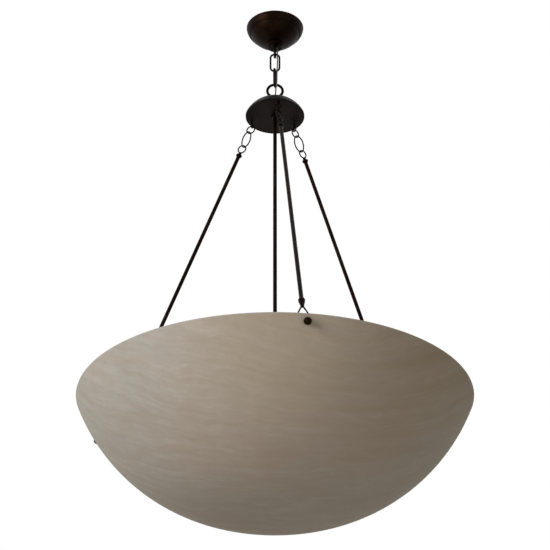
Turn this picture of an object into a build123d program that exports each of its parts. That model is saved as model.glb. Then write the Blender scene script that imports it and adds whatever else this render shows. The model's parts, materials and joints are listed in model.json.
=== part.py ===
"""Alabaster bowl pendant, in millimetres.

The origin is the ceiling point on the axis: z = 0 is the ceiling, +Z is up and -Y is the front.
From the top down: crossbar and canopy, screw-collar loop, two chain links, hub with its big ring
and three eyes, the stem that carries the lamp cluster, and three rod suspensions, each a ring,
an oval link and a rod with a loop at either end, that hold the bowl by eye bolts through its wall.
"""
from build123d import *
import os
from math import acos, asin, atan2, cos, degrees, hypot, pi, radians, sin, sqrt, tan

os.makedirs("parts", exist_ok=True)

# ---------------------------------------------------------------- fits
link_gap = 0.3            # between two links that hang in each other
eye_gap = 0.5             # between a rod's lower loop and the bowl's eye
thread_gap = 0.05         # radial room in a screwed joint
slip_gap = 0.3            # radial room where one piece slides past another
seat_gap = 0.1            # flat washer on the bowl's curved wall

# ---------------------------------------------------------------- ceiling bar and nipple
bar_length = 112.0
bar_width = 24.0
bar_thickness = 1.6
bar_crank = 8.0           # how far the middle of the bar hangs below the ceiling
bar_pad = 21.0            # flat end that lies on the ceiling box
bar_slope = 9.0           # length of the cranked slope, seen from below
mount_spacing = 88.9      # two ceiling-box screws
mount_screw_hole = 5.2
ground_screw_d = 4.0
ground_screw_x = 17.0
ground_head_d = 7.6
ground_head_height = 2.6
ground_screw_length = 9.0
nipple_d = 9.6
nipple_bore = 6.6
nipple_rise = 6.0         # above the bar
locknut_flats = 15.0
locknut_height = 3.4

# ---------------------------------------------------------------- canopy
canopy_r = 75.4
canopy_wall = 1.2
canopy_depth = 51.5
canopy_band = 19.0        # height of the rolled rim band
canopy_band_in = 8.8      # how far the band comes in over its height
canopy_band_bulge = 1.6
canopy_step = 1.7         # ledge between band and dome
canopy_bulge = 5.4        # sagitta of the dome's profile

# ---------------------------------------------------------------- screw-collar loop
base_d = 34.0
base_height = 16.0
base_above_seat = 2.0     # part of the base above the canopy's seat
nipple_in_base = 8.0      # how deep the nipple is screwed into the base
loop_od = 33.0
loop_wire = 7.0
loop_sink = 3.0           # how far the loop is sunk in its base
collar_d = 40.0
collar_height = 10.0
collar_round = 1.2
seat_width = 4.0          # flat round the canopy's hole

# ---------------------------------------------------------------- chain
chain_wire = 5.0
chain_length = 60.0       # outside, end to end
chain_width = 28.4        # outside
link_2_turn = 12.0        # the second link hangs a little turned

# ---------------------------------------------------------------- supply cord
cord_d = 3.5
cord_hole_gap = 0.25      # radial room in the two holes that the cord goes through
cord_in_hole = 5.0        # how far into each hole the cord is modelled
cord_side_1 = 6.3         # towards +X, beside the upper chain link
cord_front_1 = 4.9        # towards the front, there
cord_side_2 = 4.9         # beside the lower chain link
cord_front_2 = 5.9
cord_side_3 = 1.2         # where it goes into the hub's boss
cord_front_3 = 7.7
cord_straight = 0.3       # share of a stretch that stays straight at either end

# ---------------------------------------------------------------- hub
ring_od = 46.5
ring_wire = 7.0
ring_sink = 3.4           # how far the ring is sunk in its boss
boss_d = 24.0
boss_height = 14.0
hub_r = 75.4
hub_wall = 1.5
hub_lip = 4.0             # straight part of the dome's edge
hub_rise = 48.0           # whole height of the dome
hub_seat_r = 15.0         # flat top that the boss stands on
hub_bulge = 9.5           # sagitta of the dome's profile
plate_thickness = 3.0
plate_recess = 0.5        # plate above the dome's lower edge
hub_eye_od = 15.0
hub_eye_wire = 3.5
hub_eye_inset = 11.1      # eye centres in from the dome's edge
hub_eye_drop = 11.2       # eye centres below the dome's lower edge
hub_eye_shank = 5.0
hub_eye_nut_flats = 8.0
hub_eye_nut_height = 4.0
hub_eye_tip = 2.0         # thread that stands above its nut

# ---------------------------------------------------------------- stem and lamp cluster
stem_d = 9.5
stem_bore = 6.5
stem_nut_flats = 17.0
stem_nut_height = 4.0
stem_in_boss = 9.0
cluster_drop = 32.0       # cluster's lid below the bowl's rim
cluster_d = 96.0
cluster_height = 46.0
cluster_wall = 1.2
cluster_round = 8.0
lid_thickness = 2.0
finial_d = 22.0
finial_height = 26.0
finial_lip_d = 16.0
finial_lip_height = 3.0
finial_foot_d = 8.8       # where the ball runs into the point
finial_bore_depth = 14.0
lamp_count = 6
socket_d = 38.0
socket_wall = 5.5
socket_floor = 16.0
socket_edge = 3.0         # chamfer round its back
socket_neck_d = 10.0
socket_neck_length = 8.0
bulb_base_d = 26.0
bulb_base_length = 26.0
bulb_base_show = 0.5      # of the cap, in front of the socket's mouth
bulb_tip_d = 17.0         # flat contact end of the cap
bulb_tip_height = 3.0
bulb_neck_d = 28.0
bulb_d = 60.0
bulb_length = 108.0

# ---------------------------------------------------------------- rod suspensions
front_azimuth = 8.4       # from the front, towards +X
oval_turn = 62.0          # each oval link's plane from its rod's upright plane
small_wire = 3.3
ring_link_od = 24.5
oval_length = 48.0        # outside
oval_width = 24.5         # outside
oval_end_r = 6.5          # middle of the wire, at either end
rod_d = 9.5
rod_in_fitting = 6.0      # how deep the rod is screwed in at either end
neck_d = 7.8
neck_length = 4.0
collar_bead_d = 15.0
collar_mouth_d = 11.8     # where the rod goes in
bead_rise = 3.0           # from neck or mouth to the bead's full size
bead_length = 3.5
taper_length = 17.0       # the lower fitting's long taper
taper_tip_d = 5.2
pear_wire = 3.5
pear_width = 32.0         # outside
pear_length = 52.0        # from the tops of its legs to the outside of its bend
leg_spread = 2.4          # between the tops of the two legs, inside the neck

# ---------------------------------------------------------------- bowl
bowl_r = 457.2            # a 36 inch bowl
bowl_depth = 274.8
bowl_wall = 10.0
hub_to_rim = 806.0        # bowl's rim below the hub's lower edge
bowl_side_share = 0.9755  # profile radius of the sides, as a share of the bowl's radius
bowl_floor_share = 2.861  # and that of the flatter bottom
rim_round_out = 1.0
rim_round_in = 3.0

# ---------------------------------------------------------------- eye bolts and knobs
bolt_drop = 15.5          # bolt's hole below the rim, on the outer surface
bolt_reach = 40.0         # from the hole's outer end back to the eye's centre
bolt_d = 5.0
bolt_hole_d = 6.0
bowl_eye_od = 20.0
bowl_eye_wire = 4.5
washer_d = 15.0
washer_thickness = 1.5
bolt_nut_flats = 8.0
bolt_nut_height = 4.0
knob_d = 17.0
knob_flat = 1.1           # sliced off the ball where it meets its washer
knob_hole_depth = 9.0


# ================================================================ worked-out places
def nearer_crossing(c1, r1, c2, r2):
    """The crossing of two circles of the half plane that lies nearer the axis."""
    d = hypot(c2[0] - c1[0], c2[1] - c1[1])
    along = (r1 ** 2 - r2 ** 2 + d ** 2) / (2 * d)
    aside = sqrt(r1 ** 2 - along ** 2)
    ux = (c2[0] - c1[0]) / d
    uy = (c2[1] - c1[1]) / d
    p = (c1[0] + along * ux - aside * uy, c1[1] + along * uy + aside * ux)
    q = (c1[0] + along * ux + aside * uy, c1[1] + along * uy - aside * ux)
    return min(p, q)


# canopy and its loop
seat_z = -canopy_depth
base_top = seat_z + base_above_seat
base_bottom = base_top - base_height
loop_z = base_bottom + loop_sink - loop_od / 2
loop_bottom = loop_z - loop_od / 2
bar_low = -bar_crank - bar_thickness
nipple_top = -bar_crank + nipple_rise
nipple_bottom = base_top - nipple_in_base

# chain and hub
link_1_z = loop_bottom + loop_wire + link_gap + chain_wire - chain_length / 2
link_2_z = link_1_z - chain_length + 2 * chain_wire + link_gap
ring_z = link_2_z - chain_length / 2 + chain_wire + ring_wire + link_gap - ring_od / 2
boss_top = ring_z - ring_od / 2 + ring_sink
hub_top = boss_top - boss_height
hub_z = hub_top - hub_rise
plate_z = hub_z + plate_recess
hub_eye_r = hub_r - hub_eye_inset
stem_top = hub_top + stem_in_boss

# bowl profile: a flat floor arc that runs tangent into a rounder side arc
rim_z = hub_z - hub_to_rim
bottom_z = rim_z - bowl_depth
bowl_side_r = bowl_side_share * bowl_r
bowl_floor_r = bowl_floor_share * bowl_r
floor_c = (0, bottom_z + bowl_floor_r)
side_c = nearer_crossing((bowl_r, rim_z), bowl_side_r, floor_c, bowl_floor_r - bowl_side_r)
join_angle = atan2(side_c[0], floor_c[1] - side_c[1])

# lamp cluster
lid_top = rim_z - cluster_drop
cluster_top = lid_top - lid_thickness
cluster_bottom = cluster_top - cluster_height
lamp_z = cluster_top - cluster_height / 2
stem_bottom = cluster_bottom - stem_nut_height - finial_bore_depth

# each bolt's hole on the outer surface, square to the wall, and the eye on its inner end
hole_z = rim_z - bolt_drop
bolt_angle = asin((side_c[1] - hole_z) / bowl_side_r)
hole_r = side_c[0] + bowl_side_r * cos(bolt_angle)
bowl_eye_r = hole_r - bolt_reach * cos(bolt_angle)
bowl_eye_z = hole_z + bolt_reach * sin(bolt_angle)

# the three suspensions, a third of a turn apart
set_names = ("front", "right", "left")
set_azimuths = (front_azimuth, front_azimuth + 120, front_azimuth - 120)

# suspension line from the lowest wire of the hub's eye down to the bowl eye's centre
hub_eye_z = hub_z - hub_eye_drop
hub_eye_mid = (hub_eye_od - hub_eye_wire) / 2
line_z = hub_eye_z - hub_eye_mid
lean = atan2(bowl_eye_r - hub_eye_r, line_z - bowl_eye_z)
line_length = hypot(bowl_eye_r - hub_eye_r, line_z - bowl_eye_z)

# places along that line, measured from its top
ring_link_mid = (ring_link_od - small_wire) / 2
half_oval = (oval_length - small_wire) / 2
ring_link_at = ring_link_mid - (hub_eye_wire + small_wire) / 2 - link_gap
oval_at = ring_link_at + ring_link_mid - small_wire - link_gap + half_oval
top_loop_at = oval_at + half_oval - small_wire - link_gap + ring_link_mid
top_neck_at = top_loop_at + ring_link_mid
rod_from = top_neck_at + neck_length + 2 * bead_rise + bead_length - rod_in_fitting
pear_mid = (pear_width - pear_wire) / 2
bowl_eye_mid = (bowl_eye_od - bowl_eye_wire) / 2
pear_bend_at = line_length - bowl_eye_mid + (bowl_eye_wire + pear_wire) / 2 + eye_gap
pear_centre_at = pear_bend_at - pear_mid
pear_apex_at = pear_bend_at + pear_wire / 2 - pear_length
bottom_mouth_at = pear_apex_at - taper_length - bead_length - bead_rise
rod_to = bottom_mouth_at + rod_in_fitting

# holes that the supply cord goes through, and its places between them
cord_hole_r = cord_d / 2 + cord_hole_gap
cord_top = Vector(cord_side_1, -cord_front_1, base_bottom + cord_in_hole)
cord_mid_1 = Vector(cord_side_1, -cord_front_1, link_1_z)
cord_mid_2 = Vector(cord_side_2, -cord_front_2, link_2_z)
cord_end = Vector(cord_side_3, -cord_front_3, boss_top - cord_in_hole)


def upright(azimuth, z=0):
    """Upright plane through the axis: local x runs outward at that azimuth and local y up."""
    a = radians(azimuth)
    return Plane(origin=(0, 0, z), x_dir=(sin(a), -cos(a), 0), z_dir=(-cos(a), -sin(a), 0))


def place(azimuth, r, z):
    a = radians(azimuth)
    return Vector(r * sin(a), -r * cos(a), z)


def tangent(azimuth):
    a = radians(azimuth)
    return Vector(cos(a), sin(a), 0)


def on_line(azimuth, at, turn=0):
    """Plane at a place on the suspension line: local y runs up the line, and local x lies in
    the rod's upright plane, or turn degrees about the line away from it."""
    a = radians(azimuth)
    origin = place(azimuth, hub_eye_r + at * sin(lean), line_z - at * cos(lean))
    outward = Vector(sin(a) * cos(lean), -cos(a) * cos(lean), sin(lean))
    aside = tangent(azimuth)
    t = radians(turn)
    x_dir = outward * cos(t) + aside * sin(t)
    return Plane(origin=origin, x_dir=x_dir, z_dir=outward * sin(t) - aside * cos(t))


def on_bolt(azimuth, out):
    """Plane at a place on an eye bolt's axis: local y runs outward along the bolt, from the
    outer surface of the bowl, and local x up across it."""
    a = radians(azimuth)
    r = hole_r + out * cos(bolt_angle)
    z = hole_z - out * sin(bolt_angle)
    x_dir = (sin(a) * sin(bolt_angle), -cos(a) * sin(bolt_angle), cos(bolt_angle))
    return Plane(origin=place(azimuth, r, z), x_dir=x_dir, z_dir=tangent(azimuth))


def across(plane):
    """Plane with the same origin and local x, square to the given plane's local y."""
    return Plane(origin=plane.origin, x_dir=plane.x_dir, z_dir=plane.y_dir)


def y_axis(plane):
    return Axis(plane.origin, plane.y_dir)


def z_axis(plane):
    return Axis(plane.origin, plane.z_dir)


def save(piece, name):
    piece.part.label = name
    export_step(piece.part, f"parts/{name}.step")


# ================================================================ ceiling bar and nipple
upper_edge = [
    (-bar_length / 2, 0),
    (-bar_length / 2 + bar_pad, 0),
    (-bar_length / 2 + bar_pad + bar_slope, -bar_crank),
    (bar_length / 2 - bar_pad - bar_slope, -bar_crank),
    (bar_length / 2 - bar_pad, 0),
    (bar_length / 2, 0),
]
lower_edge = [(x, z - bar_thickness) for x, z in reversed(upper_edge)]
with BuildPart() as crossbar:
    with BuildSketch(Plane.XZ):
        with BuildLine():
            Polyline(*upper_edge, *lower_edge, close=True)
        make_face()
    extrude(amount=bar_width / 2, both=True)
    with BuildSketch():
        with GridLocations(mount_spacing, 0, 2, 1):
            Circle(mount_screw_hole / 2)
        Circle(nipple_d / 2 + thread_gap)
        with Locations((ground_screw_x, 0)):
            Circle(ground_screw_d / 2 + thread_gap)
    extrude(amount=-2 * bar_crank, mode=Mode.SUBTRACT)
save(crossbar, "crossbar")

with BuildPart() as mounting_nipple:
    with BuildSketch(Plane.XY.offset(nipple_bottom)):
        Circle(nipple_d / 2)
        Circle(nipple_bore / 2, mode=Mode.SUBTRACT)
    extrude(amount=nipple_top - nipple_bottom)
save(mounting_nipple, "mounting_nipple")

with BuildPart() as nipple_locknuts:
    for z in (-bar_crank, bar_low - locknut_height):
        with BuildSketch(Plane.XY.offset(z)):
            RegularPolygon(locknut_flats / 2, 6, major_radius=False)
            Circle(nipple_d / 2 + thread_gap, mode=Mode.SUBTRACT)
        extrude(amount=locknut_height)
save(nipple_locknuts, "nipple_locknuts")

with BuildPart() as ground_screw:
    with BuildSketch(Plane.XY.offset(bar_low)):
        with Locations((ground_screw_x, 0)):
            Circle(ground_head_d / 2)
    extrude(amount=-ground_head_height)
    with BuildSketch(Plane.XY.offset(bar_low)):
        with Locations((ground_screw_x, 0)):
            Circle(ground_screw_d / 2)
    extrude(amount=ground_screw_length - ground_head_height)
save(ground_screw, "ground_screw")

# ================================================================ canopy
canopy_hole_r = base_d / 2 + slip_gap
seat_r = canopy_hole_r + seat_width
band_r = canopy_r - canopy_band_in
with BuildPart() as canopy:
    with BuildSketch(upright(0)):
        with BuildLine():
            with BuildLine() as outer:
                SagittaArc((canopy_r, 0), (band_r, -canopy_band), canopy_band_bulge)
                Line((band_r, -canopy_band), (band_r - canopy_step, -canopy_band))
                SagittaArc((band_r - canopy_step, -canopy_band), (seat_r, seat_z), canopy_bulge)
                Line((seat_r, seat_z), (canopy_hole_r, seat_z))
            offset(outer.line, amount=canopy_wall, side=Side.RIGHT)
        make_face()
    revolve(axis=Axis.Z)
    split(bisect_by=Plane.XY, keep=Keep.BOTTOM)
save(canopy, "canopy")

# ================================================================ screw-collar loop
loop_plane = Plane(origin=(0, 0, loop_z), x_dir=(0, 1, 0), z_dir=(1, 0, 0))
with BuildPart() as canopy_loop:
    with BuildSketch(Plane.XY.offset(base_bottom)):
        Circle(base_d / 2)
    extrude(amount=base_height)
    with BuildSketch(across(loop_plane)):
        with Locations(((loop_od - loop_wire) / 2, 0)):
            Circle(loop_wire / 2)
    revolve(axis=z_axis(loop_plane))
    with BuildSketch(Plane.XY.offset(base_top)):
        Circle(nipple_d / 2 + thread_gap)
    extrude(amount=-nipple_in_base, mode=Mode.SUBTRACT)
    with BuildSketch(Plane.XY.offset(base_top)):
        with Locations((cord_top.X, cord_top.Y)):
            Circle(cord_hole_r)
    extrude(amount=-base_height, mode=Mode.SUBTRACT)
save(canopy_loop, "canopy_loop")

with BuildPart() as screw_collar:
    with BuildSketch(Plane.XY.offset(seat_z - collar_height)):
        Circle(collar_d / 2)
        Circle(base_d / 2 + slip_gap, mode=Mode.SUBTRACT)
    extrude(amount=collar_height)
    fillet(screw_collar.edges().filter_by(GeomType.CIRCLE).sort_by(SortBy.RADIUS)[-2:], collar_round)
save(screw_collar, "screw_collar")


# ================================================================ chain
def chain_link(plane):
    """Long link with straight sides and round ends, standing in the plane."""
    half_width = (chain_width - chain_wire) / 2
    end = (chain_length - chain_width) / 2
    with BuildPart() as link:
        with BuildLine(plane) as path:
            Line((half_width, -end), (half_width, end))
            CenterArc((0, end), half_width, 0, 180)
            Line((-half_width, end), (-half_width, -end))
            CenterArc((0, -end), half_width, 180, 180)
        with BuildSketch(Plane(origin=path.line @ 0, z_dir=path.line % 0)):
            Circle(chain_wire / 2)
        sweep(path=path.line)
    return link


link_1_plane = Plane(origin=(0, 0, link_1_z), x_dir=(1, 0, 0), z_dir=(0, -1, 0))
turned = radians(link_2_turn)
link_2_plane = Plane(
    origin=(0, 0, link_2_z), x_dir=(sin(turned), cos(turned), 0), z_dir=(cos(turned), -sin(turned), 0)
)
save(chain_link(link_1_plane), "chain_link_1")
save(chain_link(link_2_plane), "chain_link_2")


# ================================================================ supply cord
def cord_stretch(points):
    """One stretch of the cord: straight runs joined by arcs as large as the runs allow."""
    runs = [points[i + 1] - points[i] for i in range(len(points) - 1)]
    radii = []
    for before, after in zip(runs, runs[1:]):
        half_turn = radians(before.get_angle(after)) / 2
        radii.append(0.45 * min(before.length, after.length) / tan(half_turn))
    with BuildPart() as cord:
        with BuildLine() as path:
            if radii:
                FilletPolyline(*points, radius=radii)
            else:
                Line(*points)
        with BuildSketch(Plane(origin=path.line @ 0, z_dir=path.line % 0)):
            Circle(cord_d / 2)
        sweep(path=path.line)
    section = pi * cord_d ** 2 / 4
    ratio = cord.part.volume / (section * path.wire().length)
    print("cord radii", [round(r) for r in radii], "volume over section times length", round(ratio, 4))
    return cord


def eased(start, end):
    """Route from start to end that leaves and arrives straight down."""
    drop = start.Z - end.Z
    straight = Vector(0, 0, cord_straight * drop)
    return [start, start - straight, end + straight, end]


save(cord_stretch([cord_top, cord_mid_1]), "cord_upper")
save(cord_stretch(eased(cord_mid_1, cord_mid_2)), "cord_middle")
save(cord_stretch(eased(cord_mid_2, cord_end)), "cord_lower")

# ================================================================ hub
ring_plane = Plane(origin=(0, 0, ring_z), x_dir=(1, 0, 0), z_dir=(0, -1, 0))
with BuildPart() as hub_loop:
    with BuildSketch(Plane.XY.offset(hub_top)):
        Circle(boss_d / 2)
    extrude(amount=boss_height)
    fillet(hub_loop.edges().sort_by(Axis.Z)[-1], collar_round)
    with BuildSketch(across(ring_plane)):
        with Locations(((ring_od - ring_wire) / 2, 0)):
            Circle(ring_wire / 2)
    revolve(axis=z_axis(ring_plane))
    with BuildSketch(Plane.XY.offset(hub_top)):
        Circle(stem_d / 2 + thread_gap)
    extrude(amount=stem_in_boss, mode=Mode.SUBTRACT)
    with BuildSketch(Plane.XY.offset(hub_top)):
        with Locations((cord_end.X, cord_end.Y)):
            Circle(cord_hole_r)
    extrude(amount=boss_height + ring_sink, mode=Mode.SUBTRACT)
save(hub_loop, "hub_loop")

with BuildPart() as hub_dome:
    with BuildSketch(upright(0)):
        with BuildLine():
            with BuildLine() as outer:
                Line((hub_r, hub_z), (hub_r, hub_z + hub_lip))
                SagittaArc((hub_r, hub_z + hub_lip), (hub_seat_r, hub_top), -hub_bulge)
                Line((hub_seat_r, hub_top), (stem_d / 2 + slip_gap, hub_top))
            offset(outer.line, amount=hub_wall, side=Side.LEFT)
        make_face()
    revolve(axis=Axis.Z)
    with BuildSketch(Plane.XY.offset(hub_top)):
        with Locations((cord_end.X, cord_end.Y)):
            Circle(cord_hole_r)
    extrude(amount=-2 * hub_wall, mode=Mode.SUBTRACT)
save(hub_dome, "hub_dome")

with BuildPart() as hub_plate:
    with BuildSketch(Plane.XY.offset(plate_z)):
        Circle(hub_r - hub_wall - seat_gap)
        Circle(stem_d / 2 + thread_gap, mode=Mode.SUBTRACT)
        with Locations([place(a, hub_eye_r, 0) for a in set_azimuths]):
            Circle(hub_eye_shank / 2 + thread_gap, mode=Mode.SUBTRACT)
    extrude(amount=plate_thickness)
save(hub_plate, "hub_plate")


def hub_eye(azimuth):
    """Eye bolt under the hub's plate, its ring square to the radius."""
    centre = place(azimuth, hub_eye_r, hub_eye_z)
    plane = Plane(origin=centre, x_dir=tangent(azimuth), z_dir=place(azimuth, 1, 0))
    tip = plate_z + plate_thickness + hub_eye_nut_height + hub_eye_tip
    with BuildPart() as eye:
        with BuildSketch(across(plane)):
            with Locations((hub_eye_mid, 0)):
                Circle(hub_eye_wire / 2)
        revolve(axis=z_axis(plane))
        with BuildSketch(Plane(origin=centre + Vector(0, 0, hub_eye_mid), z_dir=(0, 0, 1))):
            Circle(hub_eye_shank / 2)
        extrude(amount=tip - hub_eye_z - hub_eye_mid)
    return eye


for name, azimuth in zip(set_names, set_azimuths):
    save(hub_eye(azimuth), f"hub_eye_{name}")

with BuildPart() as hub_eye_nuts:
    with BuildSketch(Plane.XY.offset(plate_z + plate_thickness)):
        with Locations([place(a, hub_eye_r, 0) for a in set_azimuths]):
            RegularPolygon(hub_eye_nut_flats / 2, 6, major_radius=False)
            Circle(hub_eye_shank / 2 + thread_gap, mode=Mode.SUBTRACT)
    extrude(amount=hub_eye_nut_height)
save(hub_eye_nuts, "hub_eye_nuts")

# ================================================================ stem and lamp cluster
with BuildPart() as stem:
    with BuildSketch(Plane.XY.offset(stem_bottom)):
        Circle(stem_d / 2)
        Circle(stem_bore / 2, mode=Mode.SUBTRACT)
    extrude(amount=stem_top - stem_bottom)
save(stem, "stem")

stem_nut_places = [plate_z + plate_thickness, plate_z - stem_nut_height, lid_top, cluster_bottom - stem_nut_height]
with BuildPart() as stem_nuts:
    for z in stem_nut_places:
        with BuildSketch(Plane.XY.offset(z)):
            RegularPolygon(stem_nut_flats / 2, 6, major_radius=False)
            Circle(stem_d / 2 + thread_gap, mode=Mode.SUBTRACT)
        extrude(amount=stem_nut_height)
save(stem_nuts, "stem_nuts")

lamp_azimuths = [front_azimuth + 30 + i * 360 / lamp_count for i in range(lamp_count)]
with BuildPart() as cluster_body:
    with BuildSketch(Plane.XY.offset(cluster_bottom)):
        Circle(cluster_d / 2)
    extrude(amount=cluster_height)
    fillet(cluster_body.edges().sort_by(Axis.Z)[0], cluster_round)
    offset(amount=-cluster_wall, openings=cluster_body.faces().sort_by(Axis.Z)[-1])
    with BuildSketch(Plane.XY.offset(cluster_bottom)):
        Circle(stem_d / 2 + slip_gap)
    extrude(amount=cluster_height, mode=Mode.SUBTRACT)
    for azimuth in lamp_azimuths:
        with BuildSketch(Plane(origin=(0, 0, lamp_z), z_dir=place(azimuth, 1, 0))):
            Circle(socket_neck_d / 2 + thread_gap)
        extrude(amount=cluster_d, mode=Mode.SUBTRACT)
save(cluster_body, "cluster_body")

with BuildPart() as cluster_lid:
    with BuildSketch(Plane.XY.offset(cluster_top)):
        Circle(cluster_d / 2)
        Circle(stem_d / 2 + slip_gap, mode=Mode.SUBTRACT)
    extrude(amount=lid_thickness)
    fillet(cluster_lid.edges().group_by(Axis.Z)[-1].sort_by(SortBy.RADIUS)[-1], lid_thickness / 2)
save(cluster_lid, "cluster_lid")

finial_top = cluster_bottom - stem_nut_height
ball_r = finial_d / 2
ball_z = finial_top - finial_lip_height - sqrt(ball_r ** 2 - (finial_lip_d / 2) ** 2)
lip = (finial_lip_d / 2, finial_top - finial_lip_height)
foot = (finial_foot_d / 2, ball_z - sqrt(ball_r ** 2 - (finial_foot_d / 2) ** 2))
with BuildPart() as cluster_finial:
    with BuildSketch(upright(0)):
        with BuildLine():
            Polyline((0, finial_top), (finial_lip_d / 2, finial_top), lip)
            ThreePointArc(lip, (ball_r, ball_z), foot)
            Polyline(foot, (0, finial_top - finial_height), (0, finial_top))
        make_face()
    revolve(axis=Axis.Z)
    with BuildSketch(Plane.XY.offset(finial_top)):
        Circle(stem_d / 2 + thread_gap)
    extrude(amount=-finial_bore_depth, mode=Mode.SUBTRACT)
save(cluster_finial, "cluster_finial")

socket_from = cluster_d / 2 + slip_gap
bulb_from = socket_from + socket_floor
socket_to = bulb_from + bulb_base_length - bulb_base_show


def lamp_socket(azimuth):
    """Screw socket that points straight out from the cluster, with its threaded neck inside."""
    plane = upright(azimuth, lamp_z)
    with BuildPart() as socket:
        with BuildSketch(plane):
            with BuildLine():
                Polyline(
                    (socket_from - socket_neck_length, 0),
                    (socket_from - socket_neck_length, socket_neck_d / 2),
                    (socket_from, socket_neck_d / 2),
                    (socket_from, socket_d / 2 - socket_edge),
                    (socket_from + socket_edge, socket_d / 2),
                    (socket_to, socket_d / 2),
                    (socket_to, socket_d / 2 - socket_wall),
                    (bulb_from, socket_d / 2 - socket_wall),
                    (bulb_from, 0),
                    close=True,
                )
            make_face()
        revolve(axis=Axis(plane.origin, plane.x_dir))
    return socket


def bulb(azimuth):
    """Pear-shaped lamp, its cap in the socket."""
    plane = upright(azimuth, lamp_z)
    cap_to = bulb_from + bulb_base_length
    globe_centre = bulb_from + bulb_length - bulb_d / 2
    with BuildPart() as lamp:
        with BuildSketch(plane):
            with BuildLine():
                Polyline(
                    (bulb_from, 0),
                    (bulb_from, bulb_tip_d / 2),
                    (bulb_from + bulb_tip_height, bulb_base_d / 2),
                    (cap_to, bulb_base_d / 2),
                    (cap_to, bulb_neck_d / 2),
                )
                flare = Spline(
                    (cap_to, bulb_neck_d / 2),
                    (globe_centre, bulb_d / 2),
                    tangents=[(1, 0.25), (1, 0)],
                )
                RadiusArc(flare @ 1, (globe_centre + bulb_d / 2, 0), bulb_d / 2)
                Line((globe_centre + bulb_d / 2, 0), (bulb_from, 0))
            make_face()
        revolve(axis=Axis(plane.origin, plane.x_dir))
    return lamp


for number, azimuth in enumerate(lamp_azimuths, 1):
    save(lamp_socket(azimuth), f"lamp_socket_{number}")
    save(bulb(azimuth), f"bulb_{number}")


# ================================================================ rod suspensions
def ring_link(plane):
    with BuildPart() as ring:
        with BuildSketch(across(plane)):
            with Locations((ring_link_mid, 0)):
                Circle(small_wire / 2)
        revolve(axis=z_axis(plane))
    return ring


def oval_link(plane):
    """Oval of four tangent arcs, its long way up the plane's local y."""
    half_width = (oval_width - small_wire) / 2
    rise = half_oval - oval_end_r
    spare = half_width - oval_end_r
    side = (rise ** 2 - spare ** 2) / (2 * spare)
    sweep_angle = degrees(atan2(rise, side))
    with BuildPart() as link:
        with BuildLine(plane) as path:
            CenterArc((-side, 0), side + half_width, -sweep_angle, 2 * sweep_angle)
            CenterArc((0, rise), oval_end_r, sweep_angle, 180 - 2 * sweep_angle)
            CenterArc((side, 0), side + half_width, 180 - sweep_angle, 2 * sweep_angle)
            CenterArc((0, -rise), oval_end_r, 180 + sweep_angle, 180 - 2 * sweep_angle)
        with BuildSketch(Plane(origin=path.line @ 0, z_dir=path.line % 0)):
            Circle(small_wire / 2)
        sweep(path=path.line)
    return link


def rod_top_loop(azimuth):
    """Round loop on a neck, and a beaded collar that the rod is screwed into."""
    ring_plane = on_line(azimuth, top_loop_at)
    neck = on_line(azimuth, top_neck_at)
    bead = -neck_length - bead_rise
    mouth = bead - bead_length - bead_rise
    with BuildPart() as fitting:
        with BuildSketch(across(ring_plane)):
            with Locations((ring_link_mid, 0)):
                Circle(small_wire / 2)
        revolve(axis=z_axis(ring_plane))
        with BuildSketch(neck):
            with BuildLine():
                Polyline(
                    (0, 0),
                    (neck_d / 2, 0),
                    (neck_d / 2, -neck_length),
                    (collar_bead_d / 2, bead),
                    (collar_bead_d / 2, bead - bead_length),
                    (collar_mouth_d / 2, mouth),
                    (0, mouth),
                    close=True,
                )
            make_face()
        revolve(axis=y_axis(neck))
        with BuildSketch(across(on_line(azimuth, rod_from))):
            Circle(rod_d / 2 + thread_gap)
        extrude(amount=-rod_in_fitting, mode=Mode.SUBTRACT)
    return fitting


def rod_bottom_loop(azimuth):
    """Beaded collar with a long taper, and a pear-shaped loop with its legs spread below."""
    apex = on_line(azimuth, pear_apex_at)
    loop = on_line(azimuth, pear_centre_at, 90)
    leg_top = (leg_spread / 2, pear_centre_at - pear_apex_at)
    leg_angle = atan2(leg_top[1], leg_top[0]) - acos(pear_mid / hypot(*leg_top))
    touch = (pear_mid * cos(leg_angle), pear_mid * sin(leg_angle))
    with BuildPart() as fitting:
        with BuildLine(loop) as path:
            Line(leg_top, touch)
            CenterArc((0, 0), pear_mid, degrees(leg_angle), -180 - 2 * degrees(leg_angle))
            Line((-touch[0], touch[1]), (-leg_top[0], leg_top[1]))
        with BuildSketch(Plane(origin=path.line @ 0, z_dir=path.line % 0)):
            Circle(pear_wire / 2)
        sweep(path=path.line)
        with BuildSketch(apex):
            with BuildLine():
                Polyline(
                    (0, -pear_wire),
                    (taper_tip_d / 2, -pear_wire),
                    (neck_d / 2, 0),
                    (collar_bead_d / 2, taper_length),
                    (collar_bead_d / 2, taper_length + bead_length),
                    (collar_mouth_d / 2, taper_length + bead_length + bead_rise),
                    (0, taper_length + bead_length + bead_rise),
                    close=True,
                )
            make_face()
        revolve(axis=y_axis(apex))
        with BuildSketch(across(on_line(azimuth, rod_to))):
            Circle(rod_d / 2 + thread_gap)
        extrude(amount=rod_in_fitting, mode=Mode.SUBTRACT)
    return fitting


def rod(azimuth):
    with BuildPart() as bar:
        with BuildSketch(across(on_line(azimuth, rod_to))):
            Circle(rod_d / 2)
        extrude(amount=rod_to - rod_from)
    return bar


# the left oval link is turned the other way, as a mirror image of the right one
for name, azimuth, turn in zip(set_names, set_azimuths, [-oval_turn, -oval_turn, oval_turn]):
    save(ring_link(on_line(azimuth, ring_link_at)), f"ring_link_{name}")
    save(oval_link(on_line(azimuth, oval_at, turn)), f"oval_link_{name}")
    save(rod_top_loop(azimuth), f"rod_top_loop_{name}")
    save(rod(azimuth), f"rod_{name}")
    save(rod_bottom_loop(azimuth), f"rod_bottom_loop_{name}")


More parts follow.
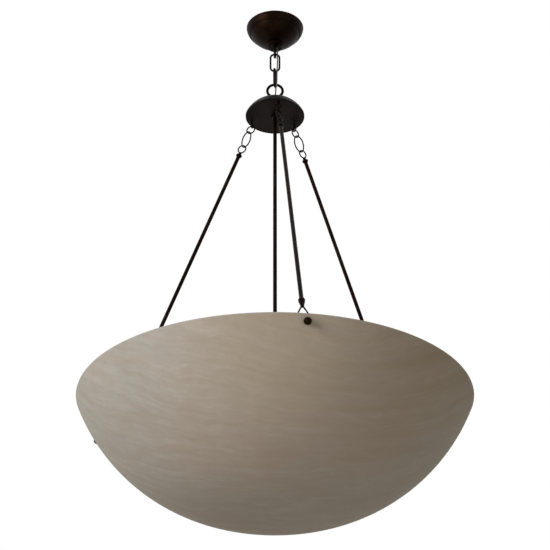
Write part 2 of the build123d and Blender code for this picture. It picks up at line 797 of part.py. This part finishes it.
# ================================================================ bowl
def bowl_edge(inset):
    """Profile of the bowl from rim to middle, moved in from the outer surface by the inset."""
    side = bowl_side_r - inset
    floor = bowl_floor_r - inset
    rim = (side_c[0] + sqrt(side ** 2 - (side_c[1] - rim_z) ** 2), rim_z)
    half_way = (pi / 2 - asin((side_c[1] - rim_z) / side) + join_angle) / 2
    middle = (side_c[0] + side * sin(half_way), side_c[1] - side * cos(half_way))
    join = (side_c[0] + side * sin(join_angle), side_c[1] - side * cos(join_angle))
    low = (floor * sin(join_angle / 2), floor_c[1] - floor * cos(join_angle / 2))
    end = (0, floor_c[1] - floor)
    return rim, middle, join, low, end


with BuildPart() as bowl:
    rim_out, side_out, join_out, low_out, end_out = bowl_edge(0)
    rim_in, side_in, join_in, low_in, end_in = bowl_edge(bowl_wall)
    with BuildSketch(upright(0)):
        with BuildLine():
            ThreePointArc(rim_out, side_out, join_out)
            ThreePointArc(join_out, low_out, end_out)
            Line(end_out, end_in)
            ThreePointArc(end_in, low_in, join_in)
            ThreePointArc(join_in, side_in, rim_in)
            Line(rim_in, rim_out)
        make_face()
    revolve(axis=Axis.Z)
    rim_edges = bowl.edges().filter_by_position(Axis.Z, rim_z, rim_z).sort_by(SortBy.LENGTH)
    fillet(rim_edges[-1], rim_round_out)
    rim_edges = bowl.edges().filter_by_position(Axis.Z, rim_z, rim_z).sort_by(SortBy.LENGTH)
    fillet(rim_edges[0], rim_round_in)
    for azimuth in set_azimuths:
        with BuildSketch(across(on_bolt(azimuth, washer_thickness))):
            Circle(bolt_hole_d / 2)
        extrude(amount=-3 * bowl_wall, mode=Mode.SUBTRACT)
save(bowl, "bowl")


# ================================================================ eye bolts and knobs
def eye_bolt(azimuth):
    """Eye inside the bowl, in the rod's upright plane, with its shank through the wall."""
    centre = on_bolt(azimuth, -bolt_reach)
    with BuildPart() as bolt:
        with BuildSketch(across(centre)):
            with Locations((bowl_eye_mid, 0)):
                Circle(bowl_eye_wire / 2)
        revolve(axis=z_axis(centre))
        with BuildSketch(across(on_bolt(azimuth, -bolt_reach + bowl_eye_mid))):
            Circle(bolt_d / 2)
        extrude(amount=bolt_reach - bowl_eye_mid + washer_thickness + knob_hole_depth)
    return bolt


def knob(azimuth):
    """Ball that screws on to the bolt's outer end, with a flat against its washer."""
    plane = on_bolt(azimuth, seat_gap + washer_thickness)
    ball_r = knob_d / 2
    centre = ball_r - knob_flat
    flat_r = sqrt(ball_r ** 2 - centre ** 2)
    bore = bolt_d / 2 + thread_gap
    with BuildPart() as ball:
        with BuildSketch(plane):
            with BuildLine():
                Line((bore, 0), (flat_r, 0))
                ThreePointArc((flat_r, 0), (ball_r, centre), (0, centre + ball_r))
                Polyline((0, centre + ball_r), (0, knob_hole_depth), (bore, knob_hole_depth), (bore, 0))
            make_face()
        revolve(axis=y_axis(plane))
    return ball


for name, azimuth in zip(set_names, set_azimuths):
    save(eye_bolt(azimuth), f"eye_bolt_{name}")
    save(knob(azimuth), f"knob_{name}")

inner_seat = -bowl_wall - seat_gap - washer_thickness
with BuildPart() as bolt_washers:
    for azimuth in set_azimuths:
        for out in (seat_gap, inner_seat):
            with BuildSketch(across(on_bolt(azimuth, out))):
                Circle(washer_d / 2)
                Circle(bolt_d / 2 + thread_gap, mode=Mode.SUBTRACT)
            extrude(amount=washer_thickness)
save(bolt_washers, "bolt_washers")

with BuildPart() as bolt_nuts:
    for azimuth in set_azimuths:
        with BuildSketch(across(on_bolt(azimuth, inner_seat))):
            RegularPolygon(bolt_nut_flats / 2, 6, major_radius=False)
            Circle(bolt_d / 2 + thread_gap, mode=Mode.SUBTRACT)
        extrude(amount=-bolt_nut_height)
save(bolt_nuts, "bolt_nuts")
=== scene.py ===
"""Alabaster bowl pendant: looks, light and camera, in metres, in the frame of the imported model."""

import bpy
import json
from math import radians
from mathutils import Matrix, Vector


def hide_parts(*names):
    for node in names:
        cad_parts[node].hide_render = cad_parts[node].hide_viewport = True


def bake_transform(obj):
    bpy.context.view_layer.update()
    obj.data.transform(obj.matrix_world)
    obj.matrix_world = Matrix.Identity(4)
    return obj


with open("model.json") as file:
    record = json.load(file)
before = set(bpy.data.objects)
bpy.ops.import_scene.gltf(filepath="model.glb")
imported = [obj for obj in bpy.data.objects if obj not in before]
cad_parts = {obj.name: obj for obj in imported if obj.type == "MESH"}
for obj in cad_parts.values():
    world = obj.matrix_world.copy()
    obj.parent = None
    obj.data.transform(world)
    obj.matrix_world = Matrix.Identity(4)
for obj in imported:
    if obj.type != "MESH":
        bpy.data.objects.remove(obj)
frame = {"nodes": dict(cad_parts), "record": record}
nodes = frame["nodes"]
scene = bpy.context.scene
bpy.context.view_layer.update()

# ---------------------------------------------------------------- sizes and places
rim_z = max(v.co.z for v in nodes["bowl"].data.vertices)
rim_highlight_depth = (0.0038, 0.0008)   # below the rim: where the painted highlight of its polished edge starts, and is full
underside_depth = (0.0783, 0.2783)   # and where the stone starts to turn to its underside's colour
under_canopy_z = -0.2     # steel above it is bare, below it blackened
lamp_cap_end = 0.0904     # how far from the axis the lamps' screw caps reach

cord_radius = 0.00175
cord_steps = 16           # pieces of tube to each stretch of its curve
cord_sides = 6            # roundness of its section
cord_side_1, cord_front_1 = 0.0063, -0.0049   # beside the upper chain link
cord_side_2, cord_front_2 = 0.0049, -0.0059   # beside the lower chain link
cord_side_3, cord_front_3 = 0.0012, -0.0077   # where it goes into the hub's boss

camera_place = (0.0, -3.214, -2.5457)
camera_up = 29.19         # degrees above level
focal_length = 1523.0     # in pixels of the photograph
photo_width = 550.0       # in pixels
sensor_width = 36.0       # in millimetres

world_soft = 0.31         # strength of the room's light on the lamp
world_seen = 1.0          # and of the white that the camera sees
floor_z = -4.2
floor_half = 40.0
floor_glow = 0.55         # evens the floor out with the white behind it


# ---------------------------------------------------------------- node helpers
def shown_rays(tree):
    """1 for the rays that carry a picture: the camera's, mirrored ones and those through glass."""
    rays = tree.nodes.new("ShaderNodeLightPath").outputs
    shown = rays["Is Camera Ray"]
    for kind in ("Is Glossy Ray", "Is Transmission Ray"):
        either = tree.nodes.new("ShaderNodeMath")
        either.operation = "MAXIMUM"
        tree.links.new(shown, either.inputs[0])
        tree.links.new(rays[kind], either.inputs[1])
        shown = either.outputs[0]
    return shown


class Tree:
    """A new material's node tree, with short calls for the nodes it needs."""

    def __init__(self, name):
        self.material = bpy.data.materials.new(name)
        self.material.use_nodes = True
        self.nodes = self.material.node_tree.nodes
        self.links = self.material.node_tree.links
        self.shader = self.nodes["Principled BSDF"]
        self.place = self.nodes.new("ShaderNodeTexCoord").outputs["Object"]

    def put(self, value, socket):
        """Links an output to the socket, or sets a plain value on it."""
        if isinstance(value, bpy.types.NodeSocket):
            self.links.new(value, socket)
        else:
            socket.default_value = value

    def shade(self, **values):
        """Sets inputs of the material's shader, named with underscores for spaces."""
        for name, value in values.items():
            self.put(value, self.shader.inputs[name.replace("_", " ")])

    def axis(self, letter):
        """One coordinate of the place."""
        node = self.nodes.new("ShaderNodeSeparateXYZ")
        self.put(self.place, node.inputs[0])
        return node.outputs[letter]

    def lifted(self, vector, height):
        """The vector, with a height added to its Z."""
        up = self.nodes.new("ShaderNodeCombineXYZ")
        self.put(height, up.inputs["Z"])
        node = self.nodes.new("ShaderNodeVectorMath")
        self.put(vector, node.inputs[0])
        self.put(up.outputs[0], node.inputs[1])
        return node.outputs[0]

    def off_axis(self):
        """Distance from the object's own upright axis."""
        flat = self.nodes.new("ShaderNodeVectorMath")
        flat.operation = "MULTIPLY"
        self.put(self.place, flat.inputs[0])
        self.put((1.0, 1.0, 0.0), flat.inputs[1])
        away = self.nodes.new("ShaderNodeVectorMath")
        away.operation = "LENGTH"
        self.put(flat.outputs[0], away.inputs[0])
        return away.outputs["Value"]

    def stretched(self, scale, turn=(0, 0, 0), shift=(0, 0, 0), vector=None):
        node = self.nodes.new("ShaderNodeMapping")
        self.put(vector or self.place, node.inputs["Vector"])
        node.inputs["Location"].default_value = shift
        node.inputs["Rotation"].default_value = [radians(v) for v in turn]
        node.inputs["Scale"].default_value = scale
        return node.outputs["Vector"]

    def noise_node(self, scale, detail, vector):
        node = self.nodes.new("ShaderNodeTexNoise")
        self.put(vector or self.place, node.inputs["Vector"])
        node.inputs["Scale"].default_value = scale
        node.inputs["Detail"].default_value = detail
        return node

    def noise(self, scale, detail, rough, vector=None):
        node = self.noise_node(scale, detail, vector)
        node.inputs["Roughness"].default_value = rough
        return node.outputs["Fac"]

    def warped(self, vector, scale, amount):
        """The vector, pushed about by a soft colour noise."""
        node = self.noise_node(scale, 3.0, vector)
        push = self.nodes.new("ShaderNodeVectorMath")
        push.operation = "MULTIPLY_ADD"
        self.put(node.outputs["Color"], push.inputs[0])
        self.put((amount, amount, amount), push.inputs[1])
        self.put(vector, push.inputs[2])
        return push.outputs[0]

    def speckle(self, scale, vector=None):
        node = self.nodes.new("ShaderNodeTexVoronoi")
        self.put(vector or self.place, node.inputs["Vector"])
        node.inputs["Scale"].default_value = scale
        return node.outputs["Distance"]

    def math(self, operation, a, b=0.0):
        node = self.nodes.new("ShaderNodeMath")
        node.operation = operation
        self.put(a, node.inputs[0])
        self.put(b, node.inputs[1])
        return node.outputs[0]

    def ramp(self, fac, low, high, out_low=0.0, out_high=1.0):
        """Smooth step of a value from one range to another."""
        node = self.nodes.new("ShaderNodeMapRange")
        node.interpolation_type = "SMOOTHSTEP"
        self.put(fac, node.inputs["Value"])
        node.inputs["From Min"].default_value = low
        node.inputs["From Max"].default_value = high
        node.inputs["To Min"].default_value = out_low
        node.inputs["To Max"].default_value = out_high
        return node.outputs["Result"]

    def mix(self, fac, a, b):
        """From colour a to colour b; either is an output or a plain colour."""
        node = self.nodes.new("ShaderNodeMix")
        node.data_type = "RGBA"
        self.put(fac, node.inputs["Factor"])
        for colour, name in ((a, "A"), (b, "B")):
            linked = isinstance(colour, bpy.types.NodeSocket)
            self.put(colour if linked else (*colour, 1.0), node.inputs[name])
        return node.outputs["Result"]

    def bump(self, height, strength, distance, over=None):
        node = self.nodes.new("ShaderNodeBump")
        node.inputs["Strength"].default_value = strength
        node.inputs["Distance"].default_value = distance
        self.put(height, node.inputs["Height"])
        if over is not None:
            self.put(over, node.inputs["Normal"])
        return node.outputs["Normal"]


# ---------------------------------------------------------------- materials
def aged_bronze():
    """Oil-rubbed bronze: nearly black brown, a little lighter in soft rubbed patches."""
    black_brown = (0.0050, 0.0020, 0.0009)
    warm_brown = (0.0075, 0.0027, 0.0012)
    rubbed = (0.0140, 0.0080, 0.0048)
    t = Tree("aged_bronze")
    patches = t.noise(9.0, 4.0, 0.6)
    fine = t.noise(210.0, 5.0, 0.6)
    rub = t.ramp(t.math("ADD", patches, t.math("MULTIPLY", fine, 0.2)), 0.56, 0.84)
    warm = t.ramp(t.noise(21.0, 3.0, 0.5), 0.42, 0.7)
    dark = t.mix(warm, black_brown, warm_brown)
    t.shade(Base_Color=t.mix(rub, dark, rubbed), Metallic=t.ramp(rub, 0.0, 1.0, 0.94, 0.98))
    t.shade(Roughness=t.ramp(t.math("ADD", fine, patches), 0.7, 1.3, 0.46, 0.60))
    t.shade(Specular_IOR_Level=0.1)
    coarse = t.bump(fine, 0.12, 0.0003)
    t.shade(Normal=t.bump(t.noise(620.0, 3.0, 0.6), 0.12, 0.0001, coarse))
    return t.material


def alabaster():
    """Unlit stone: grey-brown with fine streaks that bend gently, cool and warm drifts, a painted
    sheen of light on its left and a painted highlight along its rim edge.
    """
    left_grey_and_painted_sheen = (0.300, 0.276, 0.242)
    middle_tan = (0.318, 0.257, 0.188)
    right_brown = (0.245, 0.186, 0.114)
    underside = (0.290, 0.222, 0.165)
    broad_light = (0.335, 0.285, 0.228)
    cool_drift = (0.286, 0.272, 0.232)
    streak_light = (0.372, 0.338, 0.290)
    streak_dark = (0.240, 0.195, 0.145)
    line_light = (0.40, 0.375, 0.335)
    mottle_dark = (0.255, 0.212, 0.164)
    grain_dark = (0.235, 0.200, 0.160)
    rim_painted_highlight = (0.33, 0.315, 0.29)
    t = Tree("alabaster")

    # layers: sagged away from a line right of the middle, leaning forward and gently bent
    x, z = t.axis("X"), t.axis("Z")
    off = t.math("SUBTRACT", x, 0.16)
    sagged = t.lifted(t.place, t.math("MULTIPLY", t.math("MULTIPLY", off, off), -0.34))
    bent = t.warped(t.stretched((1.0, 1.0, 1.0), (-34.0, 2.0, 0.0), vector=sagged), 1.7, 0.15)
    layers = t.stretched((1.0, 1.0, 8.0), vector=bent)
    wavy = t.warped(bent, 8.0, 0.022)
    fine_layers = t.stretched((1.0, 1.0, 12.0), (0.0, 2.0, 0.0), (0.4, 0.2, 0.6), wavy)

    # what shows in them, from the broadest to the finest
    drift = t.noise(2.3, 3.0, 0.5, bent)
    broad = t.noise(3.0, 5.0, 0.55, layers)
    streaks = t.noise(7.5, 9.0, 0.66, fine_layers)
    lines = t.math("ABSOLUTE", t.math("SUBTRACT", t.noise(6.0, 6.0, 0.6, fine_layers), 0.5))
    lines = t.math("MULTIPLY", t.ramp(lines, 0.022, 0.0), t.ramp(broad, 0.40, 0.62))
    mottle = t.noise(26.0, 5.0, 0.62, t.stretched((1.0, 1.0, 2.2), vector=bent))
    grain = t.noise(170.0, 4.0, 0.7)

    # the stone is greyer and lighter on its left: partly its own tone, partly a painted sheen of the
    # light from the left. It is also more strongly marked there
    side = t.math("SUBTRACT", t.math("ADD", x, t.math("MULTIPLY", drift, 0.5)), 0.25)
    strong = t.ramp(side, -0.40, 0.20, 1.0, 0.45)
    # painted sheen: the grey on the left partly stands in for the light falling from that side
    base = t.mix(t.ramp(side, -0.40, 0.20), left_grey_and_painted_sheen, middle_tan)
    base = t.mix(t.ramp(side, 0.10, 0.50), base, right_brown)
    low = t.ramp(z, *(rim_z - depth for depth in underside_depth), 0.0, 0.8)
    base = t.mix(low, base, underside)
    base = t.mix(t.ramp(broad, 0.36, 0.66, 0.0, 0.40), base, broad_light)
    base = t.mix(t.ramp(drift, 0.52, 0.36, 0.0, 0.35), base, cool_drift)
    pale = t.math("MULTIPLY", strong, t.ramp(streaks, 0.48, 0.68, 0.0, 0.42))
    dim = t.math("MULTIPLY", strong, t.ramp(streaks, 0.50, 0.33, 0.0, 0.38))
    base = t.mix(pale, base, streak_light)
    base = t.mix(dim, base, streak_dark)
    base = t.mix(t.math("MULTIPLY", t.math("MULTIPLY", lines, strong), 0.30), base, line_light)
    base = t.mix(t.ramp(mottle, 0.40, 0.60, 0.0, 0.24), base, mottle_dark)
    base = t.mix(t.ramp(grain, 0.35, 0.65, 0.0, 0.10), base, grain_dark)
    # painted highlight: the polished rim edge is painted lighter and cooler, in place of its glint
    rim_highlight_mask = t.ramp(z, *(rim_z - depth for depth in rim_highlight_depth), 0.0, 0.6)
    base = t.mix(rim_highlight_mask, base, rim_painted_highlight)
    t.shade(Base_Color=base)

    rough = t.math("ADD", streaks, t.math("MULTIPLY", grain, 0.5))
    t.shade(Roughness=t.ramp(rough, 0.5, 1.0, 0.60, 0.76), Specular_IOR_Level=0.08)
    t.shade(Subsurface_Weight=0.12, Subsurface_Radius=(0.012, 0.009, 0.006), Subsurface_Scale=1.0)
    t.shade(Normal=t.bump(grain, 0.10, 0.0004, t.bump(streaks, 0.06, 0.002)))
    return t.material


def brown_cord():
    """Smooth round flex in a dull purplish brown, faintly ribbed along its length."""
    t = Tree("brown_cord")
    ribs = t.noise(420.0, 2.0, 0.5, t.stretched((1.0, 1.0, 0.06)))
    colour = t.mix(t.ramp(ribs, 0.3, 0.7), (0.042, 0.027, 0.028), (0.080, 0.056, 0.058))
    t.shade(Base_Color=colour, Roughness=t.ramp(ribs, 0.3, 0.7, 0.42, 0.58))
    t.shade(Normal=t.bump(ribs, 0.3, 0.0003))
    return t.material


def zinc_steel():
    """Plated steel with soft crystal patches and fine scratches, blackened below the canopy."""
    t = Tree("zinc_steel")
    spangle = t.speckle(150.0, t.warped(t.place, 60.0, 0.006))
    scratch = t.noise(260.0, 3.0, 0.6, t.stretched((1.0, 7.0, 1.0)))
    patch = t.ramp(spangle, 0.1, 0.7)
    bare = t.mix(patch, (0.50, 0.50, 0.47), (0.66, 0.66, 0.64))
    black = t.mix(patch, (0.0080, 0.0052, 0.0038), (0.0150, 0.0105, 0.0080))
    colour = t.mix(t.math("LESS_THAN", t.axis("Z"), under_canopy_z), bare, black)
    t.shade(Base_Color=colour, Metallic=0.9, Roughness=t.ramp(scratch, 0.3, 0.7, 0.28, 0.48))
    t.shade(Normal=t.bump(scratch, 0.2, 0.0002))
    return t.material


def green_screw():
    """Green-dyed screw, its colour thin on the edges."""
    t = Tree("green_screw")
    thin = t.ramp(t.noise(480.0, 3.0, 0.6), 0.52, 0.68)
    t.shade(Base_Color=t.mix(thin, (0.018, 0.15, 0.045), (0.20, 0.30, 0.20)), Metallic=0.6)
    t.shade(Roughness=t.ramp(thin, 0.0, 1.0, 0.32, 0.5), Normal=t.bump(thin, 0.15, 0.0002))
    return t.material


def white_porcelain():
    """Glazed socket body, a little uneven and faintly speckled."""
    t = Tree("white_porcelain")
    wave = t.noise(38.0, 3.0, 0.5)
    dots = t.ramp(t.speckle(520.0), 0.13, 0.03, 0.0, 0.5)
    glaze = t.mix(t.ramp(wave, 0.3, 0.7), (0.74, 0.72, 0.66), (0.82, 0.81, 0.77))
    t.shade(Base_Color=t.mix(dots, glaze, (0.48, 0.44, 0.38)))
    t.shade(Roughness=t.ramp(wave, 0.3, 0.7, 0.14, 0.26), Normal=t.bump(wave, 0.15, 0.001))
    return t.material


def frosted_glass():
    """Frosted lamp glass, with a brass-coloured screw cap nearest the middle of the cluster."""
    t = Tree("frosted_glass")
    cap = t.math("LESS_THAN", t.off_axis(), lamp_cap_end)
    frost = t.noise(90.0, 4.0, 0.6)
    glass = t.mix(t.ramp(frost, 0.3, 0.7), (0.80, 0.80, 0.77), (0.88, 0.88, 0.86))
    t.shade(Base_Color=t.mix(cap, glass, (0.62, 0.48, 0.26)))
    t.shade(Metallic=t.math("MULTIPLY", cap, 0.95))
    t.shade(Roughness=t.ramp(frost, 0.3, 0.7, 0.30, 0.42), Normal=t.bump(frost, 0.08, 0.0004))
    return t.material


makers = (
    aged_bronze, alabaster, brown_cord, zinc_steel, green_screw, white_porcelain, frosted_glass,
)
materials = {make.__name__: make() for make in makers}
slot_of = {s["node"]: s["material_slot"] for s in frame["record"]["subparts"]}
for name, node in nodes.items():
    node.data.materials.clear()
    node.data.materials.append(materials[slot_of[name]])


# ---------------------------------------------------------------- supply cord
def tube(name, points):
    """Closed round tube along a smooth curve through the first and the last point."""
    curve = bpy.data.curves.new(name, "CURVE")
    curve.dimensions = "3D"
    curve.bevel_depth = cord_radius
    curve.bevel_resolution = cord_sides
    curve.resolution_u = cord_steps
    curve.use_fill_caps = True
    line = curve.splines.new("NURBS")
    line.points.add(len(points) - 1)
    for point, co in zip(line.points, points):
        point.co = (*co, 1.0)
    line.order_u = 3
    line.use_endpoint_u = True
    maker = bpy.data.objects.new(name + "_line", curve)
    scene.collection.objects.link(maker)
    bpy.context.view_layer.update()
    evaluated = maker.evaluated_get(bpy.context.evaluated_depsgraph_get())
    mesh = bpy.data.meshes.new_from_object(evaluated)
    bpy.data.objects.remove(maker)
    return mesh


def cord_piece(name, points):
    """Stretch of the cord: a round tube bent along a smooth curve through the given points."""
    mesh = tube(name, points)
    piece = bpy.data.objects.new(name, mesh)
    scene.collection.objects.link(piece)
    mesh.shade_smooth()
    mesh.materials.clear()
    mesh.materials.append(materials["brown_cord"])
    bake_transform(piece)
    return piece


cord_top = (cord_side_1, cord_front_1, -0.0605)
cord_mid_1 = (cord_side_1, cord_front_1, -0.1132)
cord_mid_2 = (cord_side_2, cord_front_2, -0.1629)
cord_end = (cord_side_3, cord_front_3, -0.2287)
upper_bend = [(cord_side_1, cord_front_1, -0.085)]
middle_bend = [(cord_side_1, cord_front_1, -0.1291), (cord_side_2, cord_front_2, -0.1480)]
lower_bend = [(cord_side_2, cord_front_2, -0.18396), (cord_side_3, cord_front_3, -0.20896)]
upper_points = [cord_top, *upper_bend, cord_mid_1]
middle_points = [cord_mid_1, *middle_bend, cord_mid_2]
lower_points = [cord_mid_2, *lower_bend, cord_end]
upper = cord_piece("flex_upper", upper_points)
middle = cord_piece("flex_middle", middle_points)
lower = cord_piece("flex_lower", lower_points)
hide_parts("cord_upper")
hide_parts("cord_middle")
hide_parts("cord_lower")


# ---------------------------------------------------------------- camera
camera = bpy.data.objects.new("camera", bpy.data.cameras.new("camera"))
scene.collection.objects.link(camera)
camera.location = camera_place
camera.rotation_euler = (radians(90 + camera_up), 0.0, 0.0)
camera.data.sensor_width = sensor_width
camera.data.lens = sensor_width * focal_length / photo_width
camera.data.clip_start = 0.05
camera.data.clip_end = 200.0
scene.camera = camera


# ---------------------------------------------------------------- light, world and floor
def area_light(name, place, target, size, power, colour):
    light = bpy.data.lights.new(name, "AREA")
    light.shape = "DISK"
    light.size = size
    light.energy = power
    light.color = colour
    lamp = bpy.data.objects.new(name, light)
    scene.collection.objects.link(lamp)
    lamp.location = place
    lamp.rotation_euler = (Vector(target) - Vector(place)).to_track_quat("-Z", "Y").to_euler()


def studio_world():
    """Soft warm light on the lamp, and plain white where a picture-carrying ray goes past it."""
    world = bpy.data.worlds.new("studio")
    scene.world = world
    world.use_nodes = True
    tree = world.node_tree
    tree.nodes.clear()
    choice = tree.nodes.new("ShaderNodeMixShader")
    tree.links.new(shown_rays(tree), choice.inputs["Fac"])
    glows = ((1.0, 0.985, 0.96, 1.0), world_soft), ((1.0, 1.0, 1.0, 1.0), world_seen)
    for place, (colour, strength) in enumerate(glows, start=1):
        glow = tree.nodes.new("ShaderNodeBackground")
        glow.inputs["Color"].default_value = colour
        glow.inputs["Strength"].default_value = strength
        tree.links.new(glow.outputs[0], choice.inputs[place])
    out = tree.nodes.new("ShaderNodeOutputWorld")
    tree.links.new(choice.outputs[0], out.inputs["Surface"])


def pale_floor():
    """Plain pale floor far below the lamp."""
    mesh = bpy.data.meshes.new("floor")
    signs = ((-1, -1), (1, -1), (1, 1), (-1, 1))
    corners = [(floor_half * x, floor_half * y, floor_z) for x, y in signs]
    mesh.from_pydata(corners, [], [(0, 1, 2, 3)])
    t = Tree("pale_floor")
    t.shade(Base_Color=t.mix(t.noise(0.8, 2.0, 0.5), (0.80, 0.80, 0.79), (0.83, 0.83, 0.82)))
    t.shade(Roughness=0.9, Emission_Color=(0.98, 0.98, 0.97, 1.0))
    t.shade(Emission_Strength=t.math("MULTIPLY", shown_rays(t), floor_glow))
    mesh.materials.append(t.material)
    floor = bpy.data.objects.new("floor", mesh)
    scene.collection.objects.link(floor)
    return floor


area_light("key", (-3.9, -3.3, -0.6), (0, 0, -1.1), 2.6, 270, (0.985, 0.99, 1.0))
area_light("fill", (2.6, -4.6, -2.0), (0, 0, -1.0), 3.0, 40, (1.0, 0.98, 0.95))
studio_world()
floor = pale_floor()
scene.view_settings.view_transform = "Standard"

# ---------------------------------------------------------------- the end
bpy.context.view_layer.update()
